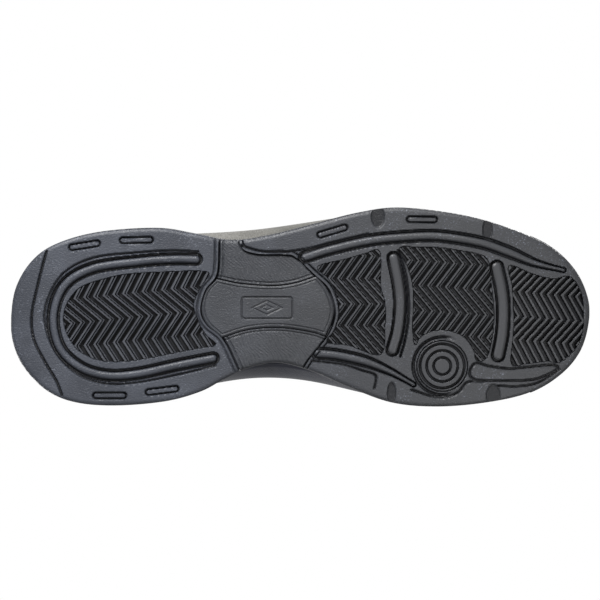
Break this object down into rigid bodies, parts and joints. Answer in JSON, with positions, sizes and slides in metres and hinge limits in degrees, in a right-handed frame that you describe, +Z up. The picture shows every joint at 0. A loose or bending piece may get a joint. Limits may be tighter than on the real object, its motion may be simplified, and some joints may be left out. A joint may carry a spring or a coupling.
{
  "type": "court shoe",
  "caption": "Low-cut right court shoe with a herringbone rubber outsole, hourglass shank plate, pivot disc, laced synthetic upper, padded tongue and a sole that flexes at the ball.",
  "frame": {"origin": "on the ground plane under the middle of the shoe's box", "axes": "+X heel to toe, +Y to the medial side, +Z up"},
  "size_m": [0.3, 0.103, 0.1239],
  "materials": {
    "outsole": "moulded slate rubber, fine pebble grain",
    "tread": "moulded slate rubber, satin",
    "shank": "moulded shank plate, satin",
    "midsole": "moulded foam sidewall, matte",
    "foam": "soft foam",
    "board": "woven lasting board",
    "insole": "knit-topped moulded insole",
    "mesh": "black spacer mesh",
    "quarter": "glossy navy-black synthetic leather",
    "overlay_grey": "warm speckled grey synthetic",
    "overlay_navy": "glossy navy-black synthetic, stitched edge",
    "toe_rubber": "abrasion-resistant toe rubber",
    "lining": "brushed knit lining",
    "counter": "moulded stiffener",
    "eyelet": "gunmetal rolled eyelets",
    "lace": "flat woven polyester lace",
    "tongue": "padded mesh tongue"
  },
  "bodies": {
    "shoe": {"heel_outsole": "outsole", "heel_tread": "tread", "shank_plate": "shank", "lateral_waist_panel": "outsole", "medial_waist_panel": "outsole", "forefoot_outsole_rear": "outsole", "ball_tread": "tread", "rear_flex_bar": "tread", "midsole_rear": "midsole", "heel_cushion": "foam", "lasting_board_rear": "board", "insole_rear": "insole", "heel_overlay": "overlay_navy", "lateral_side_overlay": "overlay_grey", "medial_side_overlay": "overlay_navy", "lateral_eyestay": "overlay_navy", "medial_eyestay": "overlay_navy", "lateral_quarter": "quarter", "medial_quarter": "quarter", "heel_counter": "counter", "collar_padding": "foam", "vamp_rear": "mesh", "lining_rear": "lining", "lateral_eyelets": "eyelet", "medial_eyelets": "eyelet", "lace": "lace", "tongue": "tongue", "lace_keeper": "lace", "forefoot_outsole_flex": "outsole", "midsole_flex": "midsole", "lasting_board_flex": "board", "insole_flex": "insole", "mudguard_flex": "overlay_navy", "vamp_flex": "mesh", "lining_flex": "lining"},
    "forefoot": {"forefoot_outsole_front": "outsole", "forefoot_tread": "tread", "pivot_disc": "tread", "front_flex_bar": "tread", "toe_tread": "tread", "toe_bumper": "toe_rubber", "midsole_front": "midsole", "lasting_board_front": "board", "insole_front": "insole", "toe_cap": "overlay_navy", "toe_puff": "counter", "vamp_front": "mesh", "lining_front": "lining"},
    "tongue_flap": {"tongue_top": "tongue"}
  },
  "joints": [
    {"name": "toe_flex", "type": "hinge", "parent": "shoe", "child": "forefoot", "pos_m": [0.057, 0, 0], "axis": [0, -1, 0], "range_deg": [0, 25], "stiffness_Nm_per_rad": 6, "deforming": ["forefoot_outsole_flex", "midsole_flex", "lasting_board_flex", "insole_flex", "mudguard_flex", "vamp_flex", "lining_flex"]},
    {"name": "tongue_fold", "type": "hinge", "parent": "shoe", "child": "tongue_flap", "pos_m": [-0.043, 0, 0.108], "axis": [0, 1, 0], "range_deg": [0, 35], "stiffness_Nm_per_rad": 0.3}
  ]
}
